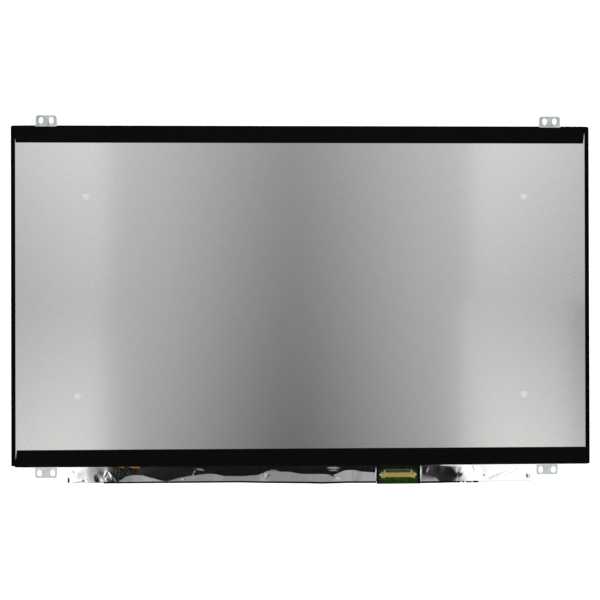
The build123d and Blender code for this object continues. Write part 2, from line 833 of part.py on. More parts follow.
def main():
    os.makedirs("parts", exist_ok=True)

    # Display cell
    save("front_polarizer", picture_sheet(polarizer_overlap, 0, polarizer_thickness))
    save("color_filter_glass", cell_glass(front_glass_bottom, z_front_glass))
    save("tft_glass", cell_glass(rear_glass_bottom, z_rear_glass))
    save("rear_polarizer", picture_sheet(polarizer_overlap, z_rear_polarizer, polarizer_thickness))
    save("cell_rim_tape", cell_rim_tape())

    # Frame and backlight
    save("mold_frame", mold_frame())
    save("upper_prism_sheet", optical_sheet(z_upper_prism, prism_sheet_thickness))
    save("lower_prism_sheet", optical_sheet(z_lower_prism, prism_sheet_thickness))
    save("diffuser_sheet", optical_sheet(z_diffuser, diffuser_thickness))
    save("light_guide_plate", light_guide_plate())
    save("reflector_sheet", reflector_sheet())
    save("led_strip_flex", led_strip_flex())
    save("led_packages", led_packages())
    save("rear_plate", rear_plate())
    top_gaps = (top_tape_left_gap, top_tape_right_gap)
    bottom_gaps = (bottom_tape_left_gap, bottom_tape_right_gap)
    save("top_edge_tape", edge_tape(1, *top_gaps, top_tape_notch_depth))
    save("bottom_edge_tape", edge_tape(-1, *bottom_gaps, bottom_tape_notch_depth))
    for name, screw_x, inward, edge in brackets:
        save(name, bracket(screw_x, inward, edge))

    # Driver electronics
    save("control_board", control_board())
    for index, centre in enumerate(flex_centres(), start=1):
        save(f"source_flex_{index}", source_flex(centre))
        save(f"driver_chip_{index}", driver_chip(centre))
    save("timing_controller", square_chip(timing_chip_x, timing_chip_size, timing_chip_height))
    save("supply_chip", square_chip(supply_chip_x, supply_chip_size, supply_chip_height))
    save("supply_inductor", supply_inductor())
    save("backlight_driver_chip", square_chip(backlight_chip_x, backlight_chip_size, backlight_chip_height))
    save("chip_capacitors", chip_capacitors())
    save("chip_resistors", chip_resistors())
    save("connector_housing", connector_housing())
    save("connector_shell", connector_shell())
    save("connector_contacts", connector_contacts())

    # Film and foil over the electronics
    left_film = insulating_film(foil_left_end + film_end_margin, window_left + film_left_reach)
    right_film = insulating_film(window_right - film_right_reach, foil_right_end - film_end_margin)
    save("insulating_film_left", left_film)
    save("insulating_film_right", right_film)
    save("foil_left", shielding_foil(foil_left_end, window_left))
    save("foil_right", shielding_foil(window_right, foil_right_end))


main()
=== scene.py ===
import math

import bmesh
import bpy
from mathutils import Matrix, Vector, noise


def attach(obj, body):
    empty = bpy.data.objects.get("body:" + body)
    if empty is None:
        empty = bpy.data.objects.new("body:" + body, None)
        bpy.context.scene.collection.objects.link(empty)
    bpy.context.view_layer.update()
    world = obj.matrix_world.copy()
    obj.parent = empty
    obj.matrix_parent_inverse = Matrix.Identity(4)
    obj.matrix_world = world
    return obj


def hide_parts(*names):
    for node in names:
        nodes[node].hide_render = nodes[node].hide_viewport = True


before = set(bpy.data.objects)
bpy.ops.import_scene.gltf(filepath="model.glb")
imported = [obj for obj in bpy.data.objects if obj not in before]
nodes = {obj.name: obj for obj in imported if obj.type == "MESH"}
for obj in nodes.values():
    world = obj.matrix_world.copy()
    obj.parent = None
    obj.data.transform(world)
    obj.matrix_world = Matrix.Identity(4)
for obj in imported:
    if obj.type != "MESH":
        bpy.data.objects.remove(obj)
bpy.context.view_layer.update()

MM = 0.001
scene = bpy.context.scene
scene.view_settings.view_transform = "Standard"

# Camera: straight above the panel, a little left of its middle
CAMERA_PLACE = (-36.6, -6.8, 901.3)
CAMERA_TURN = (0.0046, -0.0391, -0.0024)
CAMERA_LENS = 86.82
SENSOR = 36.0

# Brightness round the panel. A direction has slopes from straight up: in x to the right, in y to the back.
SURROUND = 1.8
HORIZON = 0.05

# By the upward part of the direction: the walls' share of SURROUND, and where the screen fades out
WALLS = [(0.0, 1.0), (0.1, 1.0), (0.2, 0.37), (0.6, 0.36), (0.72, 0.46), (0.9, 0.3), (1.0, 0.3)]
OVERHEAD_BAND = [(0.62, 0.0), (0.72, 1.0)]

# By the slope in x plus 0.5: brightness of the strip and of the screen
STRIP = [
    (0.389, 1.06), (0.395, 0.30), (0.407, 0.25), (0.415, 0.005),
    (0.645, 0.005), (0.652, 0.68), (0.668, 0.80), (0.676, 1.06),
]
SCREEN = [(0.40, 0.40), (0.47, 0.26), (0.55, 0.29), (0.58, 0.43), (0.62, 0.34), (0.66, 0.62)]

# By the slope in y plus 0.5: where screen, strip and ceiling follow one another from front to back
SCREEN_BAND = [(0.205, 1.0), (0.225, 0.0)]
STRIP_BAND = [(0.205, 0.0), (0.225, 1.0), (0.335, 1.0), (0.36, 0.0)]
CEILING_BAND = [(0.335, 0.0), (0.36, 1.0), (0.85, 1.0), (0.95, 0.0)]

# The ceiling is darkest along its middle; lists go by the slope in x to either side of that line
CEILING_MIDDLE = 0.034
CEILING_DARKEST = 0.355
CEILING_RISE = [(0.0, 0.0), (0.094, 0.44), (0.112, 0.435), (0.134, 0.64), (0.145, 0.68), (0.2, 0.92)]
CEILING_SIDES = [(0.13, 1.0), (0.22, 0.68)]
CEILING_SLANT = 1.3
CEILING_LIGHTEST = 0.80
CEILING_SPREAD_BACK = 3.5
CEILING_SPREAD_FRONT = 4.9
CEILING_CORNERS = 66.0
CEILING_CORNER_START = 0.1

# By the same slope: where screen, strip and ceiling give way to the walls
MIDDLE_BAND = [(0.20, 1.0), (0.27, 0.0)]

# Soft boxes: name, place and size in metres
BOXES = [
    ("box_left_upper", (-0.32, 0.36, 1.2), (0.18, 0.72)),
    ("box_left_lower", (-0.33, -0.36, 1.2), (0.19, 0.72)),
    ("box_right_upper", (0.40, 0.36, 1.2), (0.21, 0.72)),
    ("box_right_lower", (0.36, -0.36, 1.2), (0.16, 0.72)),
]
BOX_RADIANCE = 0.22

# Fill light, which only matt surfaces take
FILL_BOX = ("fill", (0.0, 0.0, 1.6), (1.6, 1.6))
FILL_RADIANCE = 1.6

# Floor, in metres
FLOOR_HALF = 4.0
FLOOR_LEVEL = -0.0001

# Foil over the driver board, in millimetres
FOIL_THICKNESS = 0.06
FOIL_WALL = -105.56
FOIL_TOP = 2.98
FOIL_UPPER_SLOPE = 0.05
FOIL_LIP_Z = 1.26
FOIL_UNDER = 0.44
FOIL_FLANGE = -111.95
FOIL_TURN = 0.55
FOIL_STEP = 0.6
FOIL_ROWS = 52
FOIL_HEM = 0.8
FOIL_TORN_HEM = 0.05
FOIL_SHARP_DEGREES = 50
FOIL_LEFT_ENDS = (-145.4, 45.8)
FOIL_RIGHT_ENDS = (73.3, 143.8)
FOIL_LEFT_SLOPE = 0.105
FOIL_RIGHT_SLOPE = 0.082

# Waves and folds of the foil: rates in x and y with a third coordinate, then heights
WAVE_RATES = (0.045, 0.12, 3.7)
WAVE_HEIGHT = 0.03
FOLD_RATES = (0.16, 0.20, 9.1)
FOLD_HEIGHT_LEFT = 0.015
FOLD_HEIGHT_RIGHT = 0.007

# Distances over which waves and creases rise from nothing: from the frame's edge, and from the turn
WAVE_FADE = 4.0
CREASE_FADE = 0.8
TURN_FADE = 0.5

# Middle of the display connector, in millimetres
CONNECTOR_X = 59.5

# Depth of the foil's ragged opening over the light bar's tail: x, depth
TAIL_EDGE = [
    (-115.2, 0.0), (-112.5, 0.3), (-111.0, 1.2), (-108.6, 1.0), (-107.2, 0.35), (-105.6, 0.6), (-104.3, 1.5),
    (-100.7, 1.35), (-100.1, 0.0),
]

# Where the foil breaks from its level part to its slope: x, y
LEFT_CREST = [
    (-145.5, -116.0), (-118.2, -116.0), (-115.1, -115.4), (-112.6, -113.8), (-109.5, -111.6),
    (-104.9, -110.7), (-99.8, -110.9), (-93.4, -112.6), (-87.2, -114.4), (-84.7, -114.8), (-74.8, -112.3),
    (-68.5, -111.3), (-64.2, -110.9), (-60.5, -110.3), (-56.1, -110.2), (-48.1, -111.7), (-38.1, -111.9),
    (-28.2, -111.3), (-21.4, -108.7), (-17.0, -108.7), (-12.7, -109.3), (-8.9, -109.3), (-0.2, -110.8),
    (13.4, -110.9), (19.0, -111.3), (27.1, -108.5), (31.4, -108.4), (37.6, -109.6), (46.3, -110.1),
]
RIGHT_CREST = [(73.0, -111.1), (79.0, -111.8), (83.0, -113.2), (87.0, -116.8), (143.2, -116.8)]

# Where the foil turns round the board's edge: x, y
LIP_LINE = [
    (-145.4, -116.0), (-38.0, -116.0), (-32.2, -116.2), (-21.0, -116.5), (1.3, -116.8), (12.5, -117.15),
    (18.1, -117.0), (29.2, -116.8), (46.2, -116.9), (73.3, -117.25), (85.7, -117.15), (91.3, -117.0),
    (108.1, -117.0), (120.0, -116.5), (143.8, -116.3),
]

# Stretches where the last rows of the foil's faces at that turn take the black film's finish, a dark line
# along the board's edge: first x, last x, rows of faces
DARK_TURNS = [
    (-123.2, 46.2, 6), (73.3, 98.5, 6), (99.3, 100.9, 6), (101.9, 105.3, 5), (106.3, 109.6, 6),
    (109.6, 143.8, 1),
]

# Single creases in the foil: first end, second end, height, half width
LEFT_CREASES = [
    ((-145.3, -112.2), (-145.2, -115.7), 0.05, 0.8),
    ((-144.9, -115.8), (-134.4, -113.3), 0.05, 0.5),
    ((-135.3, -113.4), (-134.8, -114.2), -0.06, 0.7),
    ((-143.0, -107.3), (-141.8, -109.5), 0.02, 0.6),
    ((-126.9, -112.2), (-125.0, -115.3), -0.03, 2.4),
    ((-121.0, -107.9), (-122.7, -111.6), 0.035, 0.45),
    ((-120.1, -108.2), (-114.5, -115.0), 0.025, 0.9),
    ((-118.5, -111.3), (-117.8, -113.6), 0.03, 0.4),
    ((-121.3, -112.6), (-121.1, -114.1), 0.04, 0.35),
    ((-65.7, -107.6), (-67.5, -110.7), 0.05, 0.5),
    ((-67.5, -110.7), (-66.4, -113.6), 0.05, 0.5),
    ((-64.7, -109.5), (-64.9, -112.6), -0.05, 0.7),
    ((-66.1, -107.3), (-60.5, -108.0), 0.025, 0.5),
    ((-74.5, -113.9), (-73.8, -113.6), 0.16, 0.5),
    ((-50.8, -114.7), (-48.3, -111.9), 0.04, 0.5),
    ((-25.1, -108.2), (-23.2, -113.4), 0.06, 0.8),
    ((-20.7, -110.1), (-23.8, -113.7), -0.07, 0.7),
    ((-22.4, -110.1), (-19.9, -111.3), -0.06, 0.5),
    ((-21.4, -108.6), (-15.1, -108.7), 0.03, 0.7),
    ((14.7, -107.8), (23.3, -107.8), 0.05, 1.4),
    ((16.5, -111.4), (22.2, -114.3), 0.06, 1.0),
    ((31.7, -108.5), (31.8, -114.2), 0.04, 0.45),
    ((45.8, -105.8), (45.8, -115.6), -0.03, 0.7),
]
RIGHT_CREASES = [
    ((73.3, -105.8), (73.3, -115.6), 0.018, 0.6),
    ((78.0, -106.7), (76.4, -110.4), 0.016, 0.9),
    ((91.6, -106.4), (99.1, -115.0), 0.12, 10.0),
    ((97.0, -112.0), (106.0, -112.0), 0.18, 6.5),
    ((100.3, -106.7), (96.6, -111.8), 0.02, 0.8),
    ((106.5, -106.4), (108.0, -110.1), 0.02, 0.6),
    ((112.1, -111.7), (112.6, -112.6), -0.05, 0.6),
    ((122.7, -113.2), (138.8, -106.7), 0.05, 1.2),
    ((117.7, -114.4), (131.4, -108.2), 0.035, 1.0),
    ((133.0, -108.8), (133.5, -109.2), -0.06, 0.7),
    ((141.2, -114.1), (140.8, -111.6), 0.1, 1.0),
]

# How far the foil lies below its general level: x, depth
SAG = [(-133.7, 0.0), (-122.6, 0.05), (-120.7, 0.05), (-101.0, 0.22), (-85.3, 0.22), (-44.9, 0.0)]


def shader_tree(name, **values):
    """New material, its tree and its shader; values that hold all over are set on the shader itself."""
    material = bpy.data.materials.new(name)
    material.use_nodes = True
    tree = material.node_tree
    shader = tree.nodes["Principled BSDF"]
    for socket, value in values.items():
        shader.inputs[socket.replace("_", " ")].default_value = value
    return material, tree, shader


def place(tree, scale):
    """Position on the object in metres, multiplied by a scale in each direction."""
    coordinates = tree.nodes.new("ShaderNodeTexCoord")
    mapping = tree.nodes.new("ShaderNodeMapping")
    mapping.inputs["Scale"].default_value = scale
    tree.links.new(coordinates.outputs["Object"], mapping.inputs["Vector"])
    return mapping.outputs["Vector"]


def noise_at(tree, scale, detail=4.0, roughness=0.55):
    """Soft noise from 0 to 1, with its number of waves for each metre in x, y and z."""
    texture = tree.nodes.new("ShaderNodeTexNoise")
    texture.inputs["Scale"].default_value = 1.0
    texture.inputs["Detail"].default_value = detail
    texture.inputs["Roughness"].default_value = roughness
    tree.links.new(place(tree, scale), texture.inputs["Vector"])
    return texture.outputs["Fac"]


def ramp(tree, factor, stops):
    """Colours along a factor: each stop is a place from 0 to 1 and a colour or a grey."""
    node = tree.nodes.new("ShaderNodeValToRGB")
    elements = node.color_ramp.elements
    while len(elements) < len(stops):
        elements.new(0.5)
    for element, (position, colour) in zip(elements, stops):
        element.position = position
        element.color = (*colour, 1.0) if isinstance(colour, tuple) else (colour, colour, colour, 1.0)
    tree.links.new(factor, node.inputs["Fac"])
    return node.outputs["Color"]


def mixed(tree, factor, first, second):
    """Blend of two colour outputs by a factor output."""
    node = tree.nodes.new("ShaderNodeMix")
    node.data_type = "RGBA"
    tree.links.new(factor, node.inputs["Factor"])
    tree.links.new(first, node.inputs["A"])
    tree.links.new(second, node.inputs["B"])
    return node.outputs["Result"]


def multiplied(tree, first, second):
    """Product of two colour outputs."""
    node = tree.nodes.new("ShaderNodeMix")
    node.data_type = "RGBA"
    node.blend_type = "MULTIPLY"
    node.inputs["Factor"].default_value = 1.0
    tree.links.new(first, node.inputs["A"])
    tree.links.new(second, node.inputs["B"])
    return node.outputs["Result"]


def math_node(tree, operation, *values):
    """Arithmetic on outputs and numbers."""
    node = tree.nodes.new("ShaderNodeMath")
    node.operation = operation
    for socket, value in zip(node.inputs, values):
        if isinstance(value, (int, float)):
            socket.default_value = value
        else:
            tree.links.new(value, socket)
    return node.outputs["Value"]


def bumped(tree, shader, height, depth, strength=1.0):
    """Surface relief from a height output, with its depth in metres."""
    bump = tree.nodes.new("ShaderNodeBump")
    bump.inputs["Strength"].default_value = strength
    bump.inputs["Distance"].default_value = depth
    tree.links.new(height, bump.inputs["Height"])
    tree.links.new(bump.outputs["Normal"], shader.inputs["Normal"])


def rear_plate_material():
    """Rolled bare metal: fine grain along the long edge, faint mottling, a speckled finish at both ends."""
    finish = {"Metallic": 1.0, "Coat_Weight": 1.0, "Coat_Roughness": 0.06, "Coat_IOR": 2.0}
    material, tree, shader = shader_tree("bare_plate", **finish)
    grain = noise_at(tree, (110.0, 5200.0, 1.0), 3.0)
    mottle = noise_at(tree, (250.0, 250.0, 1.0), 3.0)
    streaks = ramp(tree, grain, [(0.3, (0.436, 0.436, 0.424)), (0.7, (0.464, 0.464, 0.451))])
    clouds = multiplied(tree, streaks, ramp(tree, mottle, [(0.3, 0.970), (0.7, 1.0)]))
    parts = tree.nodes.new("ShaderNodeSeparateXYZ")
    tree.links.new(place(tree, (1.0, 1.0, 1.0)), parts.inputs["Vector"])
    # From 0 to 1 over 400 mm, with the panel's middle at 0.5
    along = math_node(tree, "MULTIPLY_ADD", parts.outputs["X"], 2.5, 0.5)
    ends = ramp(tree, along, [(0.185, 1.0), (0.235, 0.0), (0.735, 0.0), (0.785, 1.0)])
    speckle = ramp(tree, noise_at(tree, (1300.0, 1500.0, 1.0), 1.0), [(0.3, 0.865), (0.7, 1.085)])
    colour = mixed(tree, ends, clouds, multiplied(tree, clouds, speckle))
    tree.links.new(colour, shader.inputs["Base Color"])
    tree.links.new(ramp(tree, grain, [(0.3, 0.09), (0.7, 0.12)]), shader.inputs["Roughness"])
    return material


def black_tape_material():
    """Thin black film: satin, with faint waves where it was pressed down and fine dust."""
    material, tree, shader = shader_tree("black_tape", Specular_IOR_Level=0.035)
    dust = noise_at(tree, (2200.0, 2200.0, 2200.0), 2.0)
    tree.links.new(ramp(tree, dust, [(0.5, 0.0012), (0.8, 0.0040)]), shader.inputs["Base Color"])
    waves = noise_at(tree, (70.0, 160.0, 60.0), 4.0)
    tree.links.new(ramp(tree, waves, [(0.3, 0.30), (0.7, 0.48)]), shader.inputs["Roughness"])
    bumped(tree, shader, waves, 0.00022, 0.6)
    return material


def moulded_material(name, dark, light, rough_low, rough_high, specular):
    """Moulded plastic with a fine spark-eroded grain."""
    material, tree, shader = shader_tree(name, Specular_IOR_Level=specular)
    grain = noise_at(tree, (2600.0, 2600.0, 2600.0), 3.0)
    tree.links.new(ramp(tree, grain, [(0.3, dark), (0.7, light)]), shader.inputs["Base Color"])
    tree.links.new(ramp(tree, grain, [(0.3, rough_low), (0.7, rough_high)]), shader.inputs["Roughness"])
    bumped(tree, shader, grain, 0.00001, 0.5)
    return material


def galvanised_material(name, dark, light):
    """Zinc-coated sheet: small crystal patches, each with its own shine."""
    material, tree, shader = shader_tree(name, Metallic=1.0)
    cells = tree.nodes.new("ShaderNodeTexVoronoi")
    cells.inputs["Scale"].default_value = 1.0
    tree.links.new(place(tree, (420.0, 420.0, 420.0)), cells.inputs["Vector"])
    wear = noise_at(tree, (900.0, 900.0, 900.0), 4.0)
    crystals = ramp(tree, cells.outputs["Color"], [(0.0, dark), (1.0, light)])
    scuffs = ramp(tree, wear, [(0.35, 0.86), (0.62, 1.0)])
    tree.links.new(multiplied(tree, crystals, scuffs), shader.inputs["Base Color"])
    tree.links.new(ramp(tree, wear, [(0.3, 0.30), (0.7, 0.50)]), shader.inputs["Roughness"])
    bumped(tree, shader, wear, 0.00002, 0.4)
    return material


def foil_material():
    """Bright aluminium foil with faint rolling lines."""
    material, tree, shader = shader_tree("bright_foil", Metallic=1.0)
    lines = noise_at(tree, (3200.0, 90.0, 500.0), 3.0)
    colour = ramp(tree, lines, [(0.3, (0.84, 0.85, 0.87)), (0.7, (0.92, 0.92, 0.93))])
    tree.links.new(colour, shader.inputs["Base Color"])
    tree.links.new(ramp(tree, lines, [(0.3, 0.04), (0.7, 0.08)]), shader.inputs["Roughness"])
    fine = noise_at(tree, (420.0, 420.0, 420.0), 1.0)
    bumped(tree, shader, fine, 0.00006, 0.05)
    return material


def board_material():
    """Green solder mask over copper: faint runs, light spots, one bright track, and painted shade along the
    frame, where the frame's wall shadows the board.
    """
    material, tree, shader = shader_tree("board_green", Specular_IOR_Level=0.06, Roughness=0.35)
    runs = tree.nodes.new("ShaderNodeTexWave")
    runs.bands_direction = "Y"
    runs.inputs["Scale"].default_value = 1.0
    runs.inputs["Distortion"].default_value = 1.2
    tree.links.new(place(tree, (120.0, 260.0, 1.0)), runs.inputs["Vector"])
    patches = noise_at(tree, (260.0, 420.0, 1.0), 2.0)
    mask = ramp(tree, patches, [(0.42, (0.005, 0.020, 0.002)), (0.60, (0.008, 0.036, 0.003))])
    copper = ramp(tree, runs.outputs["Fac"], [(0.55, 0.72), (0.75, 1.25)])
    spots = ramp(tree, noise_at(tree, (1100.0, 1100.0, 1.0), 1.0), [(0.60, 1.0), (0.68, 2.2)])
    parts = tree.nodes.new("ShaderNodeSeparateXYZ")
    tree.links.new(place(tree, (1.0, 1.0, 1.0)), parts.inputs["Vector"])
    # From 0 to 1 over y = -118 to -105.5 mm
    depth = math_node(tree, "MULTIPLY_ADD", parts.outputs["Y"], 80.0, 9.44)
    track = [(0.25, 0.85), (0.26, 2.4), (0.29, 2.4), (0.30, 0.9)]
    # Painted shade: towards the frame's edge the green falls to 0.30 of itself, standing in for the shadow of
    # the frame's wall; the bright track is the board's own
    track_and_painted_shade = ramp(tree, depth, track + [(0.70, 0.9), (0.78, 0.30)])
    green = multiplied(tree, multiplied(tree, mask, copper), multiplied(tree, spots, track_and_painted_shade))
    tree.links.new(green, shader.inputs["Base Color"])
    bumped(tree, shader, runs.outputs["Fac"], 0.00003, 0.4)
    return material


def metal_material(name, dark, light, rough_low, rough_high):
    """Stamped metal part with handling marks."""
    material, tree, shader = shader_tree(name, Metallic=1.0)
    marks = noise_at(tree, (700.0, 1500.0, 1200.0), 4.0)
    tree.links.new(ramp(tree, marks, [(0.3, dark), (0.7, light)]), shader.inputs["Base Color"])
    tree.links.new(ramp(tree, marks, [(0.3, rough_low), (0.7, rough_high)]), shader.inputs["Roughness"])
    bumped(tree, shader, marks, 0.00003, 0.5)
    return material


def shell_material():
    """Gilt stamped shell, tinned at the solder tabs of its two ends."""
    material, tree, shader = shader_tree("gilt_metal", Metallic=1.0)
    marks = noise_at(tree, (700.0, 1500.0, 1200.0), 4.0)
    gilt = ramp(tree, marks, [(0.3, (0.46, 0.375, 0.120)), (0.7, (0.57, 0.465, 0.160))])
    tinned = ramp(tree, marks, [(0.3, (0.62, 0.62, 0.60)), (0.7, (0.80, 0.80, 0.78))])
    parts = tree.nodes.new("ShaderNodeSeparateXYZ")
    tree.links.new(place(tree, (1.0, 1.0, 1.0)), parts.inputs["Vector"])
    aside = math_node(tree, "ABSOLUTE", math_node(tree, "SUBTRACT", parts.outputs["X"], CONNECTOR_X * MM))
    # From 0 to 1 over 20 mm to either side of the connector's middle
    ends = ramp(tree, math_node(tree, "MULTIPLY", aside, 50.0), [(0.515, 0.0), (0.535, 1.0)])
    tree.links.new(mixed(tree, ends, gilt, tinned), shader.inputs["Base Color"])
    tree.links.new(ramp(tree, marks, [(0.3, 0.20), (0.7, 0.36)]), shader.inputs["Roughness"])
    bumped(tree, shader, marks, 0.00003, 0.15)
    return material


def amber_material():
    """Amber polyimide film with copper runs under it, and painted shade and glints in random patches."""
    material, tree, shader = shader_tree("amber_flex", Specular_IOR_Level=0.3, Roughness=0.3)
    runs = tree.nodes.new("ShaderNodeTexWave")
    runs.bands_direction = "X"
    runs.inputs["Scale"].default_value = 1.0
    tree.links.new(place(tree, (300.0, 1.0, 1.0)), runs.inputs["Vector"])
    film = ramp(tree, runs.outputs["Fac"], [(0.35, (0.62, 0.20, 0.015)), (0.65, (0.85, 0.34, 0.05))])
    haze = noise_at(tree, (520.0, 620.0, 520.0), 3.0)
    # Painted shade and glints: random patches darken the amber to a twentieth of its colour, with brighter
    # patches between them
    colour = multiplied(tree, film, ramp(tree, haze, [(0.45, 0.05), (0.60, 0.8)]))
    tree.links.new(colour, shader.inputs["Base Color"])
    return material


def film_material(name, dark, light, rough_low, rough_high, specular):
    """Smooth sheet or film with a faint haze."""
    material, tree, shader = shader_tree(name, Specular_IOR_Level=specular)
    haze = noise_at(tree, (180.0, 180.0, 180.0), 4.0)
    tree.links.new(ramp(tree, haze, [(0.3, dark), (0.7, light)]), shader.inputs["Base Color"])
    tree.links.new(ramp(tree, haze, [(0.3, rough_low), (0.7, rough_high)]), shader.inputs["Roughness"])
    return material


def dress(names, material):
    """Gives one material to CAD nodes."""
    for name in names:
        slots = nodes[name].data.materials
        slots.clear()
        slots.append(material)


def line_value(points, x):
    """Value at x on a line through points, smoothed at its corners."""
    if x <= points[0][0]:
        return points[0][1]
    for (left, low), (right, high) in zip(points, points[1:]):
        if x <= right:
            share = (x - left) / (right - left)
            return low + (high - low) * (share * share * (3 - 2 * share) * 0.5 + share * 0.5)
    return points[-1][1]


def crease_height(creases, x, y):
    """Height that the single creases add at a point of the foil."""
    total = 0.0
    for (x0, y0), (x1, y1), height, width in creases:
        run_x = x1 - x0
        run_y = y1 - y0
        length = run_x * run_x + run_y * run_y
        share = max(0.0, min(1.0, ((x - x0) * run_x + (y - y0) * run_y) / length))
        distance = math.hypot(x - x0 - share * run_x, y - y0 - share * run_y)
        total += height * max(0.0, 1.0 - distance / width) * math.sin(math.pi * (0.15 + 0.7 * share))
    return total


def waves(rates, x, y):
    """Soft noise about zero at a point of the foil."""
    rate_x, rate_y, third = rates
    return noise.noise(Vector((x * rate_x, y * rate_y, third)))


def risen(distance, fade):
    """Share from 0 to 1 that is reached at a distance."""
    return min(1.0, max(0.0, distance / fade))


def foil_height(x, y, crest, lip, lower_slope, creases):
    """Height of the foil's outer side over the board, in millimetres."""
    turn = lip + FOIL_TURN
    height = FOIL_TOP - FOIL_UPPER_SLOPE * (FOIL_WALL - max(y, crest)) - line_value(SAG, x)
    if y < crest:
        height -= lower_slope * (crest - max(y, turn))
    if y < turn:
        height -= (height - FOIL_LIP_Z) * ((turn - y) / FOIL_TURN) ** 2
    broad = waves(WAVE_RATES, x, y) * WAVE_HEIGHT
    fold_height = FOLD_HEIGHT_LEFT if x < CONNECTOR_X else FOLD_HEIGHT_RIGHT
    folds = waves(FOLD_RATES, x, y) * fold_height
    waved = (broad + folds) * risen(FOIL_WALL - y, WAVE_FADE)
    creased = crease_height(creases, x, y) * risen(FOIL_WALL - y, CREASE_FADE)
    return height + (waved + creased) * risen(y - turn, TURN_FADE)


def foil_piece(name, ends, crest_points, lower_slope, creases, materials):
    """Crumpled foil sheet: up the frame's edge, over the film, round the board's edge and back under it."""
    left, right = ends
    columns = round((right - left) / FOIL_STEP)
    mesh = bpy.data.meshes.new(name)
    sheet = bmesh.new()
    rows = []
    for column in range(columns + 1):
        x = left + (right - left) * column / columns
        opening = line_value(TAIL_EDGE, x)
        start = FOIL_WALL - opening
        crest = line_value(crest_points, x)
        lip = line_value(LIP_LINE, x)
        points = []
        for row in range(FOIL_ROWS + 1):
            y = start + (lip - start) * row / FOIL_ROWS
            points.append((y, foil_height(x, y, crest, lip, lower_slope, creases)))
        hem = FOIL_TORN_HEM if opening > 0.01 else FOIL_HEM
        points.insert(0, (start + 0.01, points[0][1] - hem))
        points.append((lip - 0.01, (FOIL_LIP_Z + FOIL_UNDER) / 2))
        points.append((lip + 0.05, FOIL_UNDER + 0.04))
        points.append((lip + 0.25, FOIL_UNDER))
        points.append((FOIL_FLANGE, FOIL_UNDER))
        rows.append((x, [sheet.verts.new((x * MM, y * MM, z * MM)) for y, z in points]))
    for (x, first), (next_x, second) in zip(rows, rows[1:]):
        middle = (x + next_x) / 2
        dark_rows = max([0] + [count for begin, end, count in DARK_TURNS if begin <= middle <= end])
        for index in range(len(first) - 1):
            face = sheet.faces.new((first[index], first[index + 1], second[index + 1], second[index]))
            face.material_index = 1 if dark_rows and index > FOIL_ROWS - dark_rows else 0
            face.smooth = True
    sheet.to_mesh(mesh)
    sheet.free()
    piece = bpy.data.objects.new(name, mesh)
    scene.collection.objects.link(piece)
    for material in materials:
        mesh.materials.append(material)
    thickness = piece.modifiers.new("thickness", "SOLIDIFY")
    thickness.thickness = FOIL_THICKNESS * MM
    thickness.offset = -1.0
    edges = piece.modifiers.new("edges", "EDGE_SPLIT")
    edges.split_angle = math.radians(FOIL_SHARP_DEGREES)
    return piece


def area_light(name, place_m, size, radiance):
    """Soft box that faces straight down, with an even brightness."""
    size_x, size_y = size
    light = bpy.data.lights.new(name, "AREA")
    light.shape = "RECTANGLE"
    light.size = size_x
    light.size_y = size_y
    light.energy = radiance * math.pi * size_x * size_y
    lamp = bpy.data.objects.new(name, light)
    lamp.location = place_m
    scene.collection.objects.link(lamp)
    return lamp


def share_of_surround(levels):
    """Stops with their brightness as a share of the surround's strength."""
    return [(position, level / SURROUND) for position, level in levels]


def studio_surround():
    """Walls round about, a ceiling overhead, and towards the front a dark strip and a grey screen."""
    world = bpy.data.worlds.new("studio")
    scene.world = world
    world.use_nodes = True
    tree = world.node_tree
    background = tree.nodes["Background"]
    background.inputs["Strength"].default_value = SURROUND
    coordinates = tree.nodes.new("ShaderNodeTexCoord")
    parts = tree.nodes.new("ShaderNodeSeparateXYZ")
    tree.links.new(coordinates.outputs["Generated"], parts.inputs["Vector"])
    height = math_node(tree, "MAXIMUM", parts.outputs["Z"], HORIZON)
    across = math_node(tree, "DIVIDE", parts.outputs["X"], height)
    sideways = math_node(tree, "ABSOLUTE", math_node(tree, "SUBTRACT", across, CEILING_MIDDLE))
    backward = math_node(tree, "DIVIDE", parts.outputs["Y"], height)
    along = math_node(tree, "ADD", backward, 0.5)
    crossing = math_node(tree, "ADD", across, 0.5)

    walls = ramp(tree, parts.outputs["Z"], WALLS)
    screen = ramp(tree, crossing, share_of_surround(SCREEN))
    fade = math_node(tree, "ADD", ramp(tree, sideways, CEILING_RISE), CEILING_DARKEST)
    fade = math_node(tree, "DIVIDE", fade, SURROUND)
    fade = math_node(tree, "MULTIPLY_ADD", backward, CEILING_SLANT / SURROUND, fade)
    outward = math_node(tree, "SUBTRACT", sideways, CEILING_CORNER_START)
    outward = math_node(tree, "MAXIMUM", outward, 0.0)
    frontward = math_node(tree, "MULTIPLY", backward, -CEILING_CORNERS / SURROUND)
    frontward = math_node(tree, "MAXIMUM", frontward, 0.0)
    fade = math_node(tree, "MULTIPLY_ADD", outward, frontward, fade)
    slant_back = math_node(tree, "MULTIPLY", backward, CEILING_SPREAD_BACK / SURROUND)
    slant_front = math_node(tree, "MULTIPLY", backward, -CEILING_SPREAD_FRONT / SURROUND)
    slant = math_node(tree, "MAXIMUM", slant_back, slant_front)
    limit = math_node(tree, "ADD", slant, CEILING_LIGHTEST / SURROUND)
    ceiling = math_node(tree, "MINIMUM", fade, limit)
    ceiling = multiplied(tree, ceiling, ramp(tree, sideways, CEILING_SIDES))
    strip = ramp(tree, crossing, share_of_surround(STRIP))

    middle = ramp(tree, sideways, MIDDLE_BAND)
    overhead = ramp(tree, parts.outputs["Z"], OVERHEAD_BAND)
    in_front = multiplied(tree, ramp(tree, along, SCREEN_BAND), multiplied(tree, middle, overhead))
    above = multiplied(tree, ramp(tree, along, CEILING_BAND), middle)
    beside = multiplied(tree, ramp(tree, along, STRIP_BAND), middle)
    colour = mixed(tree, in_front, walls, screen)
    colour = mixed(tree, above, colour, ceiling)
    colour = mixed(tree, beside, colour, strip)
    tree.links.new(colour, background.inputs["Color"])


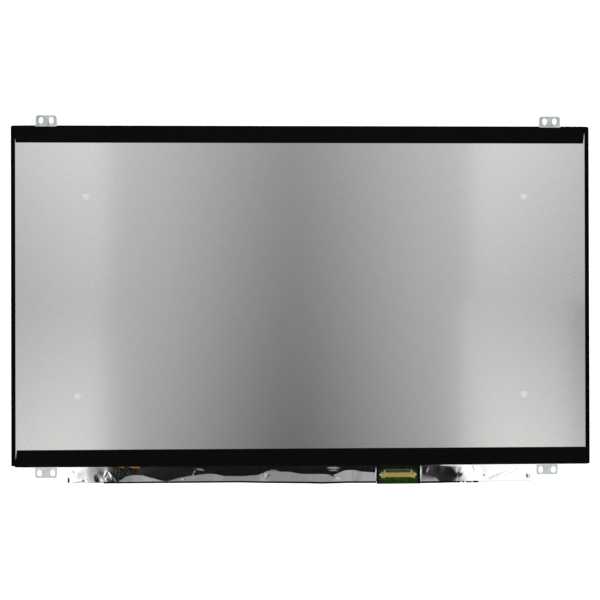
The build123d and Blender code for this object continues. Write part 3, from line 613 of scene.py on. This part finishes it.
def studio():
    """Camera, lights and a plain pale floor."""
    camera = bpy.data.objects.new("camera", bpy.data.cameras.new("camera"))
    camera.data.lens = CAMERA_LENS
    camera.data.sensor_width = SENSOR
    camera.data.clip_start = 0.01
    turn_x, turn_y, turn_z = CAMERA_TURN
    tilt = Matrix.Rotation(turn_x, 4, "X") @ Matrix.Rotation(turn_y, 4, "Y")
    turn = tilt @ Matrix.Rotation(turn_z, 4, "Z")
    camera.matrix_world = Matrix.Translation(Vector(CAMERA_PLACE) * MM) @ turn
    scene.collection.objects.link(camera)
    scene.camera = camera

    for box in BOXES:
        area_light(*box, BOX_RADIANCE)
    fill = area_light(*FILL_BOX, FILL_RADIANCE)
    fill.visible_glossy = False
    fill.visible_camera = False
    studio_surround()

    mesh = bpy.data.meshes.new("floor")
    sides = [(-1, -1), (1, -1), (1, 1), (-1, 1)]
    corners = [(x * FLOOR_HALF, y * FLOOR_HALF, FLOOR_LEVEL) for x, y in sides]
    mesh.from_pydata(corners, [], [(0, 1, 2, 3)])
    floor = bpy.data.objects.new("floor", mesh)
    scene.collection.objects.link(floor)
    finish = {"Roughness": 0.9, "Specular_IOR_Level": 0.0, "Emission_Strength": 0.6}
    material, tree, shader = shader_tree("floor", **finish)
    shader.inputs["Emission Color"].default_value = (1.0, 1.0, 1.0, 1.0)
    paper = noise_at(tree, (40.0, 40.0, 40.0), 2.0)
    tree.links.new(ramp(tree, paper, [(0.3, 0.90), (0.7, 0.92)]), shader.inputs["Base Color"])
    mesh.materials.append(material)


def dress_nodes():
    """Gives the CAD nodes their materials; returns the two materials of the foil pieces."""
    tape = black_tape_material()
    film = film_material("black_film", 0.0010, 0.0020, 0.20, 0.35, 0.03)
    chips = moulded_material("chip_resin", 0.010, 0.018, 0.45, 0.6, 0.3)
    optics = film_material("optical_film", (0.78, 0.80, 0.82), (0.84, 0.86, 0.88), 0.2, 0.3, 0.5)
    dress(["rear_plate"], rear_plate_material())
    dress(["top_edge_tape", "bottom_edge_tape", "cell_rim_tape"], tape)
    dress(["mold_frame"], moulded_material("black_moulding", 0.0006, 0.0014, 0.40, 0.55, 0.03))
    # Painted shade: the top brackets get a darker copy of the zinc, standing in for the dimmer light on them
    zinc_painted_shade = galvanised_material("zinc_painted_shade", (0.46, 0.50, 0.51), (0.80, 0.83, 0.84))
    dress(["bracket_top_left", "bracket_top_right"], zinc_painted_shade)
    zinc = galvanised_material("zinc", (0.78, 0.82, 0.83), (0.94, 0.96, 0.97))
    dress(["bracket_bottom_left", "bracket_bottom_right"], zinc)
    dress(["control_board"], board_material())
    dress(["led_strip_flex"] + [f"source_flex_{index}" for index in range(1, 5)], amber_material())
    silicon = film_material("bare_silicon", (0.08, 0.08, 0.09), (0.12, 0.12, 0.13), 0.1, 0.2, 0.6)
    dress([f"driver_chip_{index}" for index in range(1, 5)], silicon)
    dress(["timing_controller", "supply_chip", "backlight_driver_chip"], chips)
    dress(["supply_inductor"], moulded_material("ferrite", 0.05, 0.09, 0.5, 0.7, 0.3))
    tan_ceramic = moulded_material("capacitor_ceramic", (0.36, 0.26, 0.17), (0.46, 0.34, 0.22), 0.4, 0.6, 0.4)
    dress(["chip_capacitors"], tan_ceramic)
    dress(["chip_resistors"], moulded_material("resistor_ceramic", 0.02, 0.04, 0.4, 0.6, 0.4))
    dress(["connector_housing"], moulded_material("connector_plastic", 0.026, 0.040, 0.4, 0.55, 0.3))
    dress(["connector_shell"], shell_material())
    contact_metal = metal_material("contact_metal", (0.22, 0.19, 0.13), (0.36, 0.32, 0.24), 0.25, 0.40)
    dress(["connector_contacts"], contact_metal)
    dress(["insulating_film_left", "insulating_film_right"], film)
    dress(["upper_prism_sheet", "lower_prism_sheet", "diffuser_sheet"], optics)
    acrylic = film_material("light_guide", (0.80, 0.84, 0.85), (0.86, 0.89, 0.90), 0.05, 0.1, 0.5)
    dress(["light_guide_plate"], acrylic)
    white_film = film_material("white_film", (0.62, 0.62, 0.61), (0.66, 0.66, 0.65), 0.35, 0.45, 0.2)
    dress(["reflector_sheet"], white_film)
    phosphor = film_material("led_body", (0.80, 0.72, 0.40), (0.90, 0.86, 0.60), 0.25, 0.4, 0.5)
    dress(["led_packages"], phosphor)
    polarizer = film_material("polarizer_film", 0.006, 0.009, 0.28, 0.36, 0.5)
    dress(["front_polarizer", "rear_polarizer"], polarizer)
    glass = film_material("display_glass", (0.010, 0.016, 0.015), (0.016, 0.024, 0.022), 0.04, 0.07, 0.5)
    dress(["color_filter_glass", "tft_glass"], glass)
    return foil_material(), film


studio()
finishes = dress_nodes()
left_foil = foil_piece(
    "crumpled_foil_left", FOIL_LEFT_ENDS, LEFT_CREST, FOIL_LEFT_SLOPE, LEFT_CREASES, finishes)
right_foil = foil_piece(
    "crumpled_foil_right", FOIL_RIGHT_ENDS, RIGHT_CREST, FOIL_RIGHT_SLOPE, RIGHT_CREASES, finishes)
for piece, node in ((left_foil, "foil_left"), (right_foil, "foil_right")):
    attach(piece, "root")
    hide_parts(node)

bpy.context.view_layer.update()
